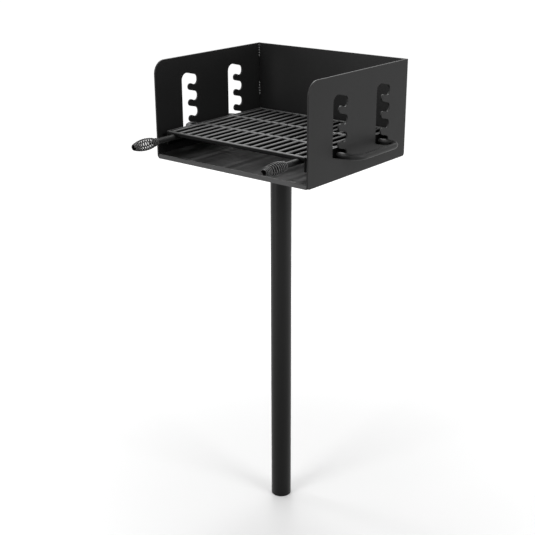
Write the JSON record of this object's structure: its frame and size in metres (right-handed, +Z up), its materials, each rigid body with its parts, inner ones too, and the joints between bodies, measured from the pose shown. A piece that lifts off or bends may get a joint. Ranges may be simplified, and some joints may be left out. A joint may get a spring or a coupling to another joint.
{
  "type": "park bbq grill pedestal",
  "caption": "Open steel firebox that turns on a round pipe post, with a bar grate hung in toothed side slots and lifted by rods with coiled wire grips.",
  "frame": {"origin": "middle of the post where it leaves the ground", "axes": "+X to the cook's right, +Y to the back of the firebox, +Z up along the post"},
  "size_m": [0.6256, 0.5773, 1.352],
  "materials": {
    "post_paint": "satin black powder coat",
    "firebox_paint": "satin black powder coat",
    "grate_paint": "satin black coat, a little smoother",
    "grip_wire": "satin black wire"
  },
  "bodies": {
    "post": {"post_tube": "post_paint", "post_cap": "post_paint"},
    "firebox": {"swivel_collar": "firebox_paint", "swivel_set_screw": "firebox_paint", "swivel_plate": "firebox_paint", "floor_panel": "firebox_paint", "back_panel": "firebox_paint", "left_side_panel": "firebox_paint", "right_side_panel": "firebox_paint", "floor_bolt_front_left": "firebox_paint", "floor_bolt_front_right": "firebox_paint", "floor_bolt_back_left": "firebox_paint", "floor_bolt_back_right": "firebox_paint", "floor_nut_front_left": "firebox_paint", "floor_nut_front_right": "firebox_paint", "floor_nut_back_left": "firebox_paint", "floor_nut_back_right": "firebox_paint"},
    "grate": {"grate_rail_left": "grate_paint", "grate_rail_right": "grate_paint", "grate_front_bar": "grate_paint", "grate_back_bar": "grate_paint", "grate_cross_bar_front": "grate_paint", "grate_cross_bar_back": "grate_paint", "grate_bar_01": "grate_paint", "grate_bar_02": "grate_paint", "grate_bar_03": "grate_paint", "grate_bar_04": "grate_paint", "grate_bar_05": "grate_paint", "grate_bar_06": "grate_paint", "grate_bar_07": "grate_paint", "grate_bar_08": "grate_paint", "grate_bar_09": "grate_paint", "grate_bar_10": "grate_paint", "grate_bar_11": "grate_paint", "grate_bar_12": "grate_paint", "grate_bar_13": "grate_paint", "grate_bar_14": "grate_paint", "grate_bar_15": "grate_paint", "grate_bar_16": "grate_paint", "grate_bar_17": "grate_paint", "side_rod_left": "grate_paint", "side_rod_right": "grate_paint", "handle_rod_left": "grate_paint", "handle_rod_right": "grate_paint", "coil_grip_left": "grip_wire", "coil_grip_right": "grip_wire"}
  },
  "joints": [
    {"name": "firebox_swivel", "type": "hinge", "parent": "post", "child": "firebox", "pos_m": [0, 0, 1.085], "axis": [0, 0, 1], "continuous": true},
    {"name": "grate_release", "type": "slide", "parent": "firebox", "child": "grate", "axis": [0, -0.9397, 0.342], "range_m": [0, 0.044]}
  ]
}
